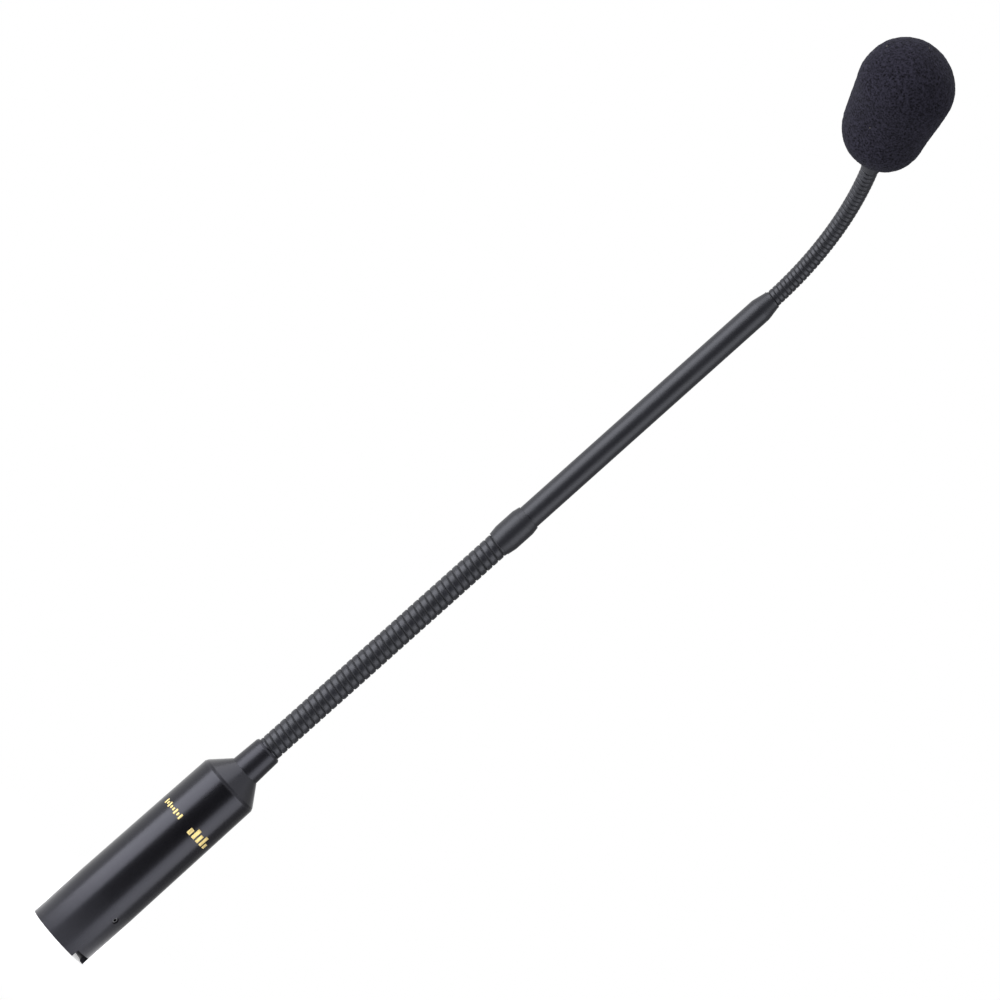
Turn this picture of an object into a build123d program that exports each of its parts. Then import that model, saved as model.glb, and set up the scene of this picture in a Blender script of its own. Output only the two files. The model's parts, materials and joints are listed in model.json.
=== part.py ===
from build123d import *
import math
import os

# Gooseneck podium microphone with a three-pin plug in its base.
# Millimetres. +Z runs up the base barrel, and the origin is the centre of the plug's rim.
# The upper neck bends the head towards -Y, and the plug's latch notch faces +X.

# ---------------------------------------------------------------- driving dimensions

# base barrel and plug
shell_radius = 9.5
shell_straight = 17.0
shoulder_height = 60.8
shoulder_radius = 9.1
cone_top_height = 66.2
cone_top_radius = 4.6
rim_chamfer = 0.4
plug_bore_radius = 8.05
cavity_start = 21.5
cavity_end = 59.0
cavity_radius = 7.6
notch_width = 7.0
notch_depth = 2.2

# plug insert and contacts
insert_start = 13.0
insert_end = 21.0
insert_radius = 8.0
contact_radius = 1.2
contact_circle = 3.8
contact_tip = 1.8
contact_tail = 24.0
contact_shank_radius = 1.5
contact_angles = {"contact_pin_1": 90, "contact_pin_2": 270, "contact_pin_3": 180}
screw_height = 14.7
screw_radius = 0.85
screw_start = 6.0
screw_length = 3.1
screw_azimuth = 75.0

# circuit board
board_front = 0.2
board_back = -1.0
board_half_width = 7.1
board_start = 25.5
board_end = 51.5
board_corner = 0.8
chip_middle = 33.0
chip_width = 4.0
chip_length = 5.0
chip_height = 1.5
capacitor_radius = 2.5
capacitor_start = 38.5
capacitor_length = 7.0
capacitor_sides = (-3.2, 3.2)
resistor_width = 1.0
resistor_length = 2.0
resistor_height = 0.6
resistor_sides = (-5.2, -3.6, 3.6, 5.2)

# leads and cable in the base
lead_radius = 0.4
lead_height = contact_tail + 6
back_lead_height = contact_tail + 2.8
thin_lead_radius = 0.3
cable_start = 52.0
clamp_thickness = 2.0

# ferrule under the lower neck
ferrule_end = 74.8
ferrule_base_radius = 4.45
ferrule_end_radius = 4.15
shank_radius = 3.3
shank_start = 55.0
nut_radius = 5.4

# lower neck: hinges every lower_pitch, turning about X and Y in turn
lower_length = 81.7
lower_hinges = 12
lower_radius = 3.45
lower_ball = 4.5
lower_bore = 1.7
lower_cable_radius = 1.3

# stiff middle: sleeve, tube and reducer
sleeve_length = 10.6
sleeve_radius = 4.05
sleeve_chamfer = 0.7
seat_depth = 2.0
tube_end = 249.4
tube_radius = 3.38
tube_wall = 0.7
reducer_length = 4.3
reducer_plug = 6.0
reducer_tip_radius = 2.65

# upper neck: hinges every upper_pitch, with its rest bend shared by all of them
upper_length = 46.5
upper_hinges = 10
upper_radius = 2.35
upper_ball = 3.2
upper_bore = 1.2
upper_cable_radius = 0.8
rest_bend = 46.0

# head, measured along its own axis from the upper neck's end
collar_radius = 2.9
collar_length = 4.5
housing_radius = 5.6
housing_shoulder = 6.6
housing_end = 32.0
housing_wall = 0.6
shank_bore = 2.4
slots_around = 8
slot_width = 1.0
capsule_radius = 4.85
capsule_start = 23.7
capsule_length = 6.2
foam_bottom = 2.1
foam_lower_radius = 11.4
foam_upper_radius = 13.1
foam_centre_gap = 14.8
foam_flat = 0.5

# clearances
joint_gap = 0.15
fit_gap = 0.05
foam_gap = 0.3

# ---------------------------------------------------------------- worked out from them

lower_pitch = lower_length / lower_hinges
lower_end = ferrule_end + lower_length
sleeve_end = lower_end + sleeve_length
reducer_end = tube_end + reducer_length
upper_pitch = upper_length / upper_hinges
step_bend = rest_bend / upper_hinges

os.makedirs("parts", exist_ok=True)


def ball_height(ball, radius):
    """How far a point at this radius on a ball lies from the ball's middle, along the axis."""
    return math.sqrt(ball * ball - radius * radius)


def ball_arc(ball, middle, radius_a, radius_b):
    """The arc on the ball's lower half between two radii. The ball's middle is on the axis."""
    angle_a = math.asin(radius_a / ball)
    angle_b = math.asin(radius_b / ball)
    half = (angle_a + angle_b) / 2
    start = (radius_a, middle - ball * math.cos(angle_a))
    way = (ball * math.sin(half), middle - ball * math.cos(half))
    end = (radius_b, middle - ball * math.cos(angle_b))
    return ThreePointArc(start, way, end)


def tilted(bend):
    """The direction of a stretch that leans this many degrees from +Z towards -Y."""
    return Vector(0, -math.sin(math.radians(bend)), math.cos(math.radians(bend)))


def profile_plane(origin, bend):
    """A plane for profiles: its X is the radius and its Y runs along the stretch."""
    along = tilted(bend)
    return Plane(origin=origin, x_dir=(1, 0, 0), z_dir=Vector(1, 0, 0).cross(along))


def azimuth_point(radius, azimuth, height):
    """A point at this azimuth, counted from -Y towards +X."""
    turn = math.radians(azimuth)
    return (radius * math.sin(turn), -radius * math.cos(turn), height)


# The hinges' places, with the lean of the stretch above each one.
lower_points = [Vector(0, 0, ferrule_end + lower_pitch * (n + 0.5)) for n in range(lower_hinges)]
upper_points = [Vector(0, 0, reducer_end + upper_pitch / 2)]
upper_bends = [step_bend * (n + 1) for n in range(upper_hinges)]
for bend in upper_bends[:-1]:
    upper_points.append(upper_points[-1] + tilted(bend) * upper_pitch)
head_axis = tilted(rest_bend)
head_origin = upper_points[-1] + head_axis * (upper_pitch / 2)
head_plane = Plane(origin=head_origin, x_dir=(1, 0, 0), z_dir=head_axis)
head_profile = profile_plane(head_origin, rest_bend)
head_line = Axis(head_origin, head_axis)


def neck_link(origin, bend, pitch, radius, ball, bore):
    """One neck link: a ball nose that sits in the link below and a cup for the link above."""
    with BuildPart() as link:
        with BuildSketch(profile_plane(origin, bend)):
            with BuildLine():
                nose = ball_arc(ball, 0, bore, radius)
                cup = ball_arc(ball + joint_gap, pitch, radius, bore)
                Line(nose @ 1, cup @ 0)
                Line(cup @ 1, nose @ 0)
            make_face()
        revolve(axis=Axis(origin, tilted(bend)))
    return link


# ---------------------------------------------------------------- base

screw_plane = Plane(origin=(0, 0, screw_height), z_dir=azimuth_point(1, screw_azimuth, 0))

with BuildPart() as base_barrel:
    with BuildSketch(Plane.XZ):
        with BuildLine():
            Polyline(
                (plug_bore_radius + rim_chamfer, 0),
                (shell_radius, 0),
                (shell_radius, shell_straight),
                (shoulder_radius, shoulder_height - 0.5),
                (shoulder_radius - 0.4, shoulder_height + 0.35),
                (cone_top_radius, cone_top_height),
                (shank_radius + fit_gap, cone_top_height),
                (shank_radius + fit_gap, cavity_end),
                (cavity_radius, cavity_end),
                (cavity_radius, cavity_start),
                (plug_bore_radius, cavity_start),
                (plug_bore_radius, rim_chamfer),
                close=True,
            )
        make_face()
    revolve(axis=Axis.Z)
    # latch notch in the rim
    with BuildSketch(Plane.YZ.offset(5)):
        with Locations((0, 0)):
            Rectangle(notch_width, notch_depth * 2)
    extrude(amount=6, mode=Mode.SUBTRACT)
    # hole for the insert's set screw
    with BuildSketch(screw_plane):
        Circle(screw_radius + fit_gap)
    extrude(amount=shell_radius + 1, mode=Mode.SUBTRACT)
base_barrel.part.label = "base_barrel"
export_step(base_barrel.part, "parts/base_barrel.step")

with BuildPart() as plug_insert:
    with BuildSketch(Plane.XY.offset(insert_start)):
        Circle(insert_radius)
        # keyway opposite the latch notch
        with Locations((-insert_radius, 0)):
            Rectangle(2.0, 2.4, mode=Mode.SUBTRACT)
        with PolarLocations(contact_circle, 3, start_angle=90, angular_range=270):
            Circle(contact_shank_radius + fit_gap, mode=Mode.SUBTRACT)
    extrude(amount=insert_end - insert_start)
    # shallow ring moulded into the front face
    with BuildSketch(Plane.XY.offset(insert_start)):
        Circle(6.9)
        Circle(6.2, mode=Mode.SUBTRACT)
    extrude(amount=0.5, mode=Mode.SUBTRACT)
    # thread for the set screw
    with BuildSketch(screw_plane.offset(screw_start - 0.1)):
        Circle(screw_radius + fit_gap)
    extrude(amount=4, mode=Mode.SUBTRACT)
plug_insert.part.label = "plug_insert"
export_step(plug_insert.part, "parts/plug_insert.step")

for pin_name, pin_angle in contact_angles.items():
    pin_x = contact_circle * math.cos(math.radians(pin_angle))
    pin_y = contact_circle * math.sin(math.radians(pin_angle))
    with BuildPart() as contact_pin:
        with BuildSketch(Plane(origin=(pin_x, pin_y, 0), x_dir=(1, 0, 0), z_dir=(0, -1, 0))):
            with BuildLine():
                tip = ThreePointArc(
                    (0, contact_tip),
                    (contact_radius * 0.7071, contact_tip + contact_radius * 0.2929),
                    (contact_radius, contact_tip + contact_radius),
                )
                Polyline(
                    tip @ 1,
                    (contact_radius, insert_start - 0.1),
                    (contact_shank_radius, insert_start + 0.05),
                    (contact_shank_radius, insert_end + 0.3),
                    (0.9, insert_end + 0.6),
                    (0.9, contact_tail),
                    (0, contact_tail),
                    tip @ 0,
                )
            make_face()
        revolve(axis=Axis((pin_x, pin_y, 0), (0, 0, 1)))
        # solder cup in the tail
        with BuildSketch(Plane(origin=(pin_x, pin_y, contact_tail))):
            Circle(0.6)
        extrude(amount=-1.6, mode=Mode.SUBTRACT)
    contact_pin.part.label = pin_name
    export_step(contact_pin.part, f"parts/{pin_name}.step")

with BuildPart() as insert_set_screw:
    with BuildSketch(screw_plane.offset(screw_start)):
        Circle(screw_radius)
    extrude(amount=screw_length)
    chamfer(insert_set_screw.edges(), 0.15)
    # hexagon socket
    with BuildSketch(screw_plane.offset(screw_start + screw_length)):
        RegularPolygon(0.5, 6)
    extrude(amount=-1.2, mode=Mode.SUBTRACT)
insert_set_screw.part.label = "insert_set_screw"
export_step(insert_set_screw.part, "parts/insert_set_screw.step")

with BuildPart() as ground_ring:
    with BuildSketch(Plane.XY.offset(insert_end)):
        Circle(insert_radius - 0.05)
        Circle(6.4, mode=Mode.SUBTRACT)
        with Locations((7.2, 0)):
            Rectangle(3, 2, mode=Mode.SUBTRACT)
    extrude(amount=0.4)
ground_ring.part.label = "ground_ring"
export_step(ground_ring.part, "parts/ground_ring.step")

with BuildPart() as board_cradle:
    with BuildSketch(Plane.XY.offset(board_start - 1.5)):
        Circle(cavity_radius - fit_gap)
        Circle(6.7, mode=Mode.SUBTRACT)
        with Locations((board_back + 10, 0)):
            Rectangle(20, 20, mode=Mode.SUBTRACT)
    extrude(amount=board_end - board_start + 3)
board_cradle.part.label = "board_cradle"
export_step(board_cradle.part, "parts/board_cradle.step")

with BuildPart() as preamp_board:
    with BuildSketch(Plane.YZ.offset(board_back)):
        with Locations((0, (board_start + board_end) / 2)):
            RectangleRounded(2 * board_half_width, board_end - board_start, board_corner)
    extrude(amount=board_front - board_back)
preamp_board.part.label = "preamp_board"
export_step(preamp_board.part, "parts/preamp_board.step")

with BuildPart() as board_chip:
    with BuildSketch(Plane.YZ.offset(board_front)):
        with Locations((0, chip_middle)):
            Rectangle(chip_width, chip_length)
    extrude(amount=chip_height)
    chamfer(board_chip.faces().sort_by(Axis.X)[-1].edges(), 0.2)
board_chip.part.label = "board_chip"
export_step(board_chip.part, "parts/board_chip.step")

with BuildPart() as board_capacitors:
    for side in capacitor_sides:
        with BuildSketch(Plane(origin=(board_front + capacitor_radius + fit_gap, side, capacitor_start))):
            Circle(capacitor_radius)
        extrude(amount=capacitor_length)
    fillet(board_capacitors.edges().filter_by(GeomType.CIRCLE), 0.4)
board_capacitors.part.label = "board_capacitors"
export_step(board_capacitors.part, "parts/board_capacitors.step")

with BuildPart() as board_resistors:
    for side in resistor_sides:
        with BuildSketch(Plane.YZ.offset(board_front)):
            with Locations((side, chip_middle)):
                Rectangle(resistor_width, resistor_length)
        extrude(amount=resistor_height)
board_resistors.part.label = "board_resistors"
export_step(board_resistors.part, "parts/board_resistors.step")

with BuildPart() as pin_leads:
    for side in (-contact_circle, contact_circle):
        with BuildLine() as lead_path:
            Polyline((0, side, contact_tail), (1.0, side, contact_tail + 1.2), (1.0, side, lead_height))
        with BuildSketch(Plane(origin=(0, side, contact_tail), z_dir=lead_path.line % 0)):
            Circle(lead_radius)
        sweep(path=lead_path.line, transition=Transition.RIGHT)
    with BuildLine() as back_path:
        Polyline(
            (-contact_circle, 0, contact_tail),
            (board_back - 0.9, 0, back_lead_height),
            (board_back - 0.9, 0, lead_height),
        )
    with BuildSketch(Plane(origin=(-contact_circle, 0, contact_tail), z_dir=back_path.line % 0)):
        Circle(lead_radius)
    sweep(path=back_path.line, transition=Transition.RIGHT)
pin_leads.part.label = "pin_leads"
export_step(pin_leads.part, "parts/pin_leads.step")

with BuildPart() as ferrule_nut:
    with BuildSketch(Plane.XY.offset(shank_start + 1)):
        RegularPolygon(nut_radius, 6)
        Circle(shank_radius + fit_gap, mode=Mode.SUBTRACT)
    extrude(amount=cavity_end - shank_start - 1)
ferrule_nut.part.label = "ferrule_nut"
export_step(ferrule_nut.part, "parts/ferrule_nut.step")

with BuildPart() as neck_ferrule:
    with BuildSketch(Plane.XZ):
        with BuildLine():
            cup = ball_arc(lower_ball + joint_gap, lower_points[0].Z, lower_radius, lower_bore)
            Polyline(
                cup @ 1,
                (lower_bore, shank_start),
                (shank_radius, shank_start),
                (shank_radius, cone_top_height),
                (ferrule_base_radius, cone_top_height),
                (ferrule_end_radius, ferrule_end - 0.6),
                (ferrule_end_radius - 0.3, ferrule_end - 0.1),
                (lower_radius, ferrule_end),
                cup @ 0,
            )
        make_face()
    revolve(axis=Axis.Z)
neck_ferrule.part.label = "neck_ferrule"
export_step(neck_ferrule.part, "parts/neck_ferrule.step")

with BuildPart() as cable_clamp:
    with BuildSketch(Plane.XY.offset(cable_start + 0.2)):
        Circle(2.4)
        with Locations((3.4, 0)):
            Rectangle(3.6, 2.6)
        Circle(lower_cable_radius + fit_gap, mode=Mode.SUBTRACT)
    extrude(amount=clamp_thickness)
cable_clamp.part.label = "cable_clamp"
export_step(cable_clamp.part, "parts/cable_clamp.step")

with BuildPart() as base_leads:
    for side in (-1.6, 0.0, 1.6):
        with BuildLine() as lead_path:
            Polyline(
                (0.35, side * 0.4, cable_start - 0.1),
                (0.9, side, cable_start - 2.4),
                (0.9, side, cable_start - 4.5),
            )
        with BuildSketch(Plane(origin=(0.35, side * 0.4, cable_start - 0.1), z_dir=lead_path.line % 0)):
            Circle(thin_lead_radius)
        sweep(path=lead_path.line, transition=Transition.RIGHT)
base_leads.part.label = "base_leads"
export_step(base_leads.part, "parts/base_leads.step")

# The cable in the base and the lower neck is one length. It bends with the neck.
with BuildPart() as lower_neck_cable:
    with BuildSketch(Plane.XY.offset(cable_start)):
        Circle(lower_cable_radius)
    extrude(amount=lower_end - cable_start)
lower_neck_cable.part.label = "lower_neck_cable"
export_step(lower_neck_cable.part, "parts/lower_neck_cable.step")

# ---------------------------------------------------------------- lower neck

for number in range(1, lower_hinges):
    link = neck_link(lower_points[number - 1], 0, lower_pitch, lower_radius, lower_ball, lower_bore)
    link_name = f"lower_neck_link_{number:02d}"
    link.part.label = link_name
    export_step(link.part, f"parts/{link_name}.step")

# ---------------------------------------------------------------- middle tube

with BuildPart() as coupling_sleeve:
    with BuildSketch(Plane.XZ):
        with BuildLine():
            nose = ball_arc(lower_ball, lower_points[-1].Z, lower_bore, lower_radius)
            Polyline(
                nose @ 1,
                (lower_radius, lower_end),
                (sleeve_radius - sleeve_chamfer / 2, lower_end),
                (sleeve_radius, lower_end + sleeve_chamfer),
                (sleeve_radius, sleeve_end - sleeve_chamfer),
                (sleeve_radius - sleeve_chamfer / 2, sleeve_end),
                (tube_radius + fit_gap, sleeve_end),
                (tube_radius + fit_gap, lower_end + seat_depth),
                (lower_bore, lower_end + seat_depth),
                nose @ 0,
            )
        make_face()
    revolve(axis=Axis.Z)
coupling_sleeve.part.label = "coupling_sleeve"
export_step(coupling_sleeve.part, "parts/coupling_sleeve.step")

with BuildPart() as middle_tube:
    with BuildSketch(Plane.XY.offset(lower_end + seat_depth + fit_gap)):
        Circle(tube_radius)
        Circle(tube_radius - tube_wall, mode=Mode.SUBTRACT)
    extrude(amount=tube_end - lower_end - seat_depth - fit_gap)
middle_tube.part.label = "middle_tube"
export_step(middle_tube.part, "parts/middle_tube.step")

with BuildPart() as reducer:
    with BuildSketch(Plane.XZ):
        with BuildLine():
            cup = ball_arc(upper_ball + joint_gap, upper_points[0].Z, upper_radius, upper_bore)
            Polyline(
                cup @ 1,
                (upper_bore, tube_end - reducer_plug),
                (tube_radius - tube_wall - fit_gap, tube_end - reducer_plug),
                (tube_radius - tube_wall - fit_gap, tube_end),
                (tube_radius, tube_end),
                (tube_radius - 0.15, tube_end + 0.9),
                (reducer_tip_radius, reducer_end - 0.5),
                (reducer_tip_radius, reducer_end),
                (upper_radius, reducer_end),
                cup @ 0,
            )
        make_face()
    revolve(axis=Axis.Z)
reducer.part.label = "reducer"
export_step(reducer.part, "parts/reducer.step")

with BuildPart() as tube_cable:
    with BuildSketch(Plane.XY.offset(lower_end + 0.2)):
        Circle(lower_cable_radius)
    extrude(amount=tube_end - reducer_plug - 0.2 - lower_end)
tube_cable.part.label = "tube_cable"
export_step(tube_cable.part, "parts/tube_cable.step")

# ---------------------------------------------------------------- upper neck

for number in range(1, upper_hinges):
    link = neck_link(
        upper_points[number - 1], upper_bends[number - 1], upper_pitch, upper_radius, upper_ball, upper_bore
    )
    link_name = f"upper_neck_link_{number:02d}"
    link.part.label = link_name
    export_step(link.part, f"parts/{link_name}.step")

# The thin lead in the upper neck follows the middle of its links on one arc.
corner_distance = -head_origin.Y / math.sin(math.radians(rest_bend))
neck_corner = head_origin - head_axis * corner_distance
with BuildPart() as upper_neck_cable:
    with BuildLine() as cable_path:
        FilletPolyline(
            (0, 0, tube_end - reducer_plug + 0.1),
            neck_corner,
            head_origin + head_axis * (collar_length + 4.6),
            radius=corner_distance / math.tan(math.radians(rest_bend / 2)),
        )
    with BuildSketch(Plane.XY.offset(tube_end - reducer_plug + 0.1)):
        Circle(upper_cable_radius)
    sweep(path=cable_path.line)
upper_neck_cable.part.label = "upper_neck_cable"
export_step(upper_neck_cable.part, "parts/upper_neck_cable.step")

# ---------------------------------------------------------------- head

with BuildPart() as head_collar:
    with BuildSketch(head_profile):
        with BuildLine():
            nose = ball_arc(upper_ball, -upper_pitch / 2, upper_bore, upper_radius)
            Polyline(
                nose @ 1,
                (upper_radius, 0),
                (collar_radius - 0.3, 0),
                (collar_radius, 0.4),
                (collar_radius, collar_length),
                (shank_bore, collar_length),
                (shank_bore, collar_length + 4.4),
                (upper_bore, collar_length + 4.4),
                nose @ 0,
            )
        make_face()
    revolve(axis=head_line)
head_collar.part.label = "head_collar"
export_step(head_collar.part, "parts/head_collar.step")

with BuildPart(head_plane) as capsule_housing:
    with BuildSketch(head_profile):
        with BuildLine():
            Polyline(
                (shank_bore + fit_gap, collar_length),
                (collar_radius + 0.5, collar_length),
                (housing_radius, housing_shoulder),
                (housing_radius, housing_end - 0.3),
                (housing_radius - 0.3, housing_end),
                (housing_radius - housing_wall, housing_end),
                (housing_radius - housing_wall, housing_shoulder + 1.2),
                (housing_radius - housing_wall - 0.6, housing_shoulder + 0.6),
                (shank_bore + fit_gap, housing_shoulder + 0.6),
                close=True,
            )
        make_face()
    revolve(axis=head_line)
    # two rows of sound slots
    for slot_middle, slot_length in ((16.0, 7.0), (27.2, 5.0)):
        with Locations((0, 0, slot_middle)):
            with PolarLocations(housing_radius, slots_around):
                Box(4, slot_width, slot_length, mode=Mode.SUBTRACT)
capsule_housing.part.label = "capsule_housing"
export_step(capsule_housing.part, "parts/capsule_housing.step")

with BuildPart() as collar_nut:
    with BuildSketch(head_plane.offset(housing_shoulder + 0.6)):
        RegularPolygon(4.3, 6)
        Circle(shank_bore + fit_gap, mode=Mode.SUBTRACT)
    extrude(amount=1.6)
collar_nut.part.label = "collar_nut"
export_step(collar_nut.part, "parts/collar_nut.step")

with BuildPart() as capsule_leads:
    for side in (-1.5, 1.5):
        with BuildSketch(head_plane.offset(collar_length + 4.7)):
            with Locations((side, 0)):
                Circle(0.4)
        extrude(amount=capsule_start - 1.9 - collar_length - 4.7)
capsule_leads.part.label = "capsule_leads"
export_step(capsule_leads.part, "parts/capsule_leads.step")

with BuildPart() as capsule_board:
    with BuildSketch(head_plane.offset(capsule_start - 1.9)):
        Circle(capsule_radius - 0.15)
    extrude(amount=0.8)
capsule_board.part.label = "capsule_board"
export_step(capsule_board.part, "parts/capsule_board.step")

with BuildPart() as capsule_gasket:
    with BuildSketch(head_plane.offset(capsule_start - 1.0)):
        Circle(capsule_radius)
        Circle(capsule_radius - 1.1, mode=Mode.SUBTRACT)
    extrude(amount=0.9)
    fillet(capsule_gasket.edges(), 0.35)
capsule_gasket.part.label = "capsule_gasket"
export_step(capsule_gasket.part, "parts/capsule_gasket.step")

with BuildPart(head_plane) as electret_capsule:
    with BuildSketch(head_plane.offset(capsule_start)):
        Circle(capsule_radius)
    extrude(amount=capsule_length)
    # rolled rim round the sound inlet
    with BuildSketch(head_plane.offset(capsule_start + capsule_length)):
        Circle(capsule_radius - 0.7)
    extrude(amount=-0.3, mode=Mode.SUBTRACT)
    with Locations((0, 0, capsule_start + capsule_length - 0.7)):
        with PolarLocations(1.6, 3):
            Cylinder(0.5, 1.6, mode=Mode.SUBTRACT)
electret_capsule.part.label = "electret_capsule"
export_step(electret_capsule.part, "parts/electret_capsule.step")

with BuildPart() as acoustic_felt:
    with BuildSketch(head_plane.offset(capsule_start + capsule_length + 0.05)):
        Circle(capsule_radius)
    extrude(amount=0.7)
acoustic_felt.part.label = "acoustic_felt"
export_step(acoustic_felt.part, "parts/acoustic_felt.step")

with BuildPart() as front_grille:
    with BuildSketch(head_plane.offset(housing_end - 1.2)):
        Circle(housing_radius - housing_wall - fit_gap)
        with HexLocations(0.62, 7, 7):
            Circle(0.38, mode=Mode.SUBTRACT)
    extrude(amount=0.4)
front_grille.part.label = "front_grille"
export_step(front_grille.part, "parts/front_grille.step")

with BuildPart() as grille_ring:
    with BuildSketch(head_plane.offset(housing_end - 0.75)):
        Circle(housing_radius - housing_wall - fit_gap)
        Circle(4.3, mode=Mode.SUBTRACT)
    extrude(amount=0.7)
grille_ring.part.label = "grille_ring"
export_step(grille_ring.part, "parts/grille_ring.step")

# The foam windscreen is two round ends joined by a cone, bored out for the housing.
foam_lower_middle = foam_bottom + foam_lower_radius
foam_upper_middle = foam_lower_middle + foam_centre_gap
foam_bore = housing_radius + foam_gap
foam_mouth = foam_lower_middle - ball_height(foam_lower_radius, foam_bore)
cone_sine = (foam_upper_radius - foam_lower_radius) / foam_centre_gap
cone_cosine = math.sqrt(1 - cone_sine * cone_sine)
with BuildPart() as windscreen:
    with BuildSketch(head_profile):
        with BuildLine():
            lower_round = ThreePointArc(
                (foam_bore, foam_mouth),
                (foam_lower_radius * 0.866, foam_lower_middle - foam_lower_radius * 0.5),
                (foam_lower_radius * cone_cosine, foam_lower_middle - foam_lower_radius * cone_sine),
            )
            upper_round = ThreePointArc(
                (foam_upper_radius * cone_cosine, foam_upper_middle - foam_upper_radius * cone_sine),
                (foam_upper_radius * 0.7071, foam_upper_middle + foam_upper_radius * 0.7071),
                (foam_flat, foam_upper_middle + ball_height(foam_upper_radius, foam_flat)),
            )
            Line(lower_round @ 1, upper_round @ 0)
            Polyline(
                upper_round @ 1,
                (0, foam_upper_middle + ball_height(foam_upper_radius, foam_flat)),
                (0, housing_end + foam_gap),
                (foam_bore, housing_end + foam_gap),
                lower_round @ 0,
            )
        make_face()
    revolve(axis=head_line)
windscreen.part.label = "windscreen"
export_step(windscreen.part, "parts/windscreen.step")
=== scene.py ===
import json
import math

import bmesh
import bpy
from mathutils import Matrix, Vector, noise

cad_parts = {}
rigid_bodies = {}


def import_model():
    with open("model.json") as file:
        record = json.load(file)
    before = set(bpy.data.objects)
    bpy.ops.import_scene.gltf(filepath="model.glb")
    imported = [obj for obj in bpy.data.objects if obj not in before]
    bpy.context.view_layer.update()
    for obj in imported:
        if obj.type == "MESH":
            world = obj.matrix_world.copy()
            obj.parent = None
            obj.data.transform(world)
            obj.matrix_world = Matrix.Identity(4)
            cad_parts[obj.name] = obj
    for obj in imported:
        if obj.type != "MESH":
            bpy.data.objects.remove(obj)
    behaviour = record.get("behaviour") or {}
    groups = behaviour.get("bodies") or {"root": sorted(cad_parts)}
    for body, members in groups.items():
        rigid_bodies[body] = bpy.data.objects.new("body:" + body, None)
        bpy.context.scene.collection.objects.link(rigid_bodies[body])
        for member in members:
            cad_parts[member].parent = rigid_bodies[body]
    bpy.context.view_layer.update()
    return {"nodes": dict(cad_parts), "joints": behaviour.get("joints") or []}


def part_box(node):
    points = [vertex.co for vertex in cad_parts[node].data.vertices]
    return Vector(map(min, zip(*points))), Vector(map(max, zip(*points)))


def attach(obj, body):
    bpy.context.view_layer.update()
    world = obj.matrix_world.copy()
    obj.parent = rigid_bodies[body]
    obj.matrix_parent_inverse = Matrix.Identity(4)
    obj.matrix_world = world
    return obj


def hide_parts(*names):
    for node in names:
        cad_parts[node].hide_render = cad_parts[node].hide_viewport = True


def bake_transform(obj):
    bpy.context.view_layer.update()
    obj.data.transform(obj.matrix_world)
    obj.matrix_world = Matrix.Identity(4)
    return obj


bl_info = {
    "name": "Gooseneck podium microphone",
    "version": (1, 0, 0),
    "blender": (4, 5, 0),
    "location": "3D View > Sidebar > Microphone",
    "description": "Builds the windings, windscreen, marks, finishes and stage of a gooseneck microphone",
    "category": "Object",
}

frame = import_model()

MM = 0.001
UPWARD = Vector((0, 0, 1))
JOINTS = {joint["name"]: joint for joint in frame["joints"]}


# ---------------------------------------------------------------- measures taken from the frame


def hinge_row(prefix):
    """The hinges of one neck in order, each with its place and the two bodies that it joins."""
    row = [joint for joint in frame["joints"] if joint["name"].startswith(prefix)]
    return [(Vector(joint["pos_m"]), joint["parent"], joint["child"]) for joint in row]


def outline(node):
    """(height, largest radius) pairs up a CAD node that stands on the Z axis, from its mesh."""
    rings = {}
    for vertex in frame["nodes"][node].data.vertices:
        height = round(vertex.co.z, 5)
        rings[height] = max(rings.get(height, 0.0), math.hypot(vertex.co.x, vertex.co.y))
    return sorted(rings.items())


def radius_at(profile, height):
    """The radius between the two nearest rings of an outline."""
    for (low, low_radius), (high, high_radius) in zip(profile, profile[1:]):
        if low <= height <= high:
            share = (height - low) / (high - low)
            return low_radius + (high_radius - low_radius) * share
    raise ValueError(f"no ring at height {height}")


LOWER_HINGES = hinge_row("lower_")
UPPER_HINGES = hinge_row("upper_")
FERRULE_TOP = Vector((0, 0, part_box("neck_ferrule")[1].z))
REDUCER_TOP = Vector((0, 0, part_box("reducer")[1].z))
SLEEVE_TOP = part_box("coupling_sleeve")[1].z
LOWER_PITCH = (LOWER_HINGES[1][0] - LOWER_HINGES[0][0]).length
UPPER_PITCH = (UPPER_HINGES[1][0] - UPPER_HINGES[0][0]).length
SLEEVE_FOOT = LOWER_HINGES[-1][0] + Vector((0, 0, LOWER_PITCH / 2))
HEAD_AXIS = Vector(JOINTS["windscreen_slide"]["axis"]).normalized()
HEAD_FOOT = UPPER_HINGES[-1][0] + HEAD_AXIS * (UPPER_PITCH / 2)


# ---------------------------------------------------------------- sizes and colours a user would change


def length(name, default, description):
    """A length property in metres."""
    settings = {"min": 0, "precision": 5, "unit": "LENGTH", "subtype": "DISTANCE"}
    return bpy.props.FloatProperty(name=name, description=description, default=default, **settings)


def angle(name, default, description):
    """An angle property, given here in degrees."""
    settings = {"unit": "ROTATION", "subtype": "ANGLE"}
    return bpy.props.FloatProperty(
        name=name, description=description, default=math.radians(default), **settings
    )


def amount(name, default, description):
    """A plain number property."""
    return bpy.props.FloatProperty(name=name, description=description, default=default, min=0)


def colour(name, default, description):
    """A colour property, in linear light."""
    return bpy.props.FloatVectorProperty(
        name=name, description=description, default=default, size=3, min=0, max=1, subtype="COLOR"
    )


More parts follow.
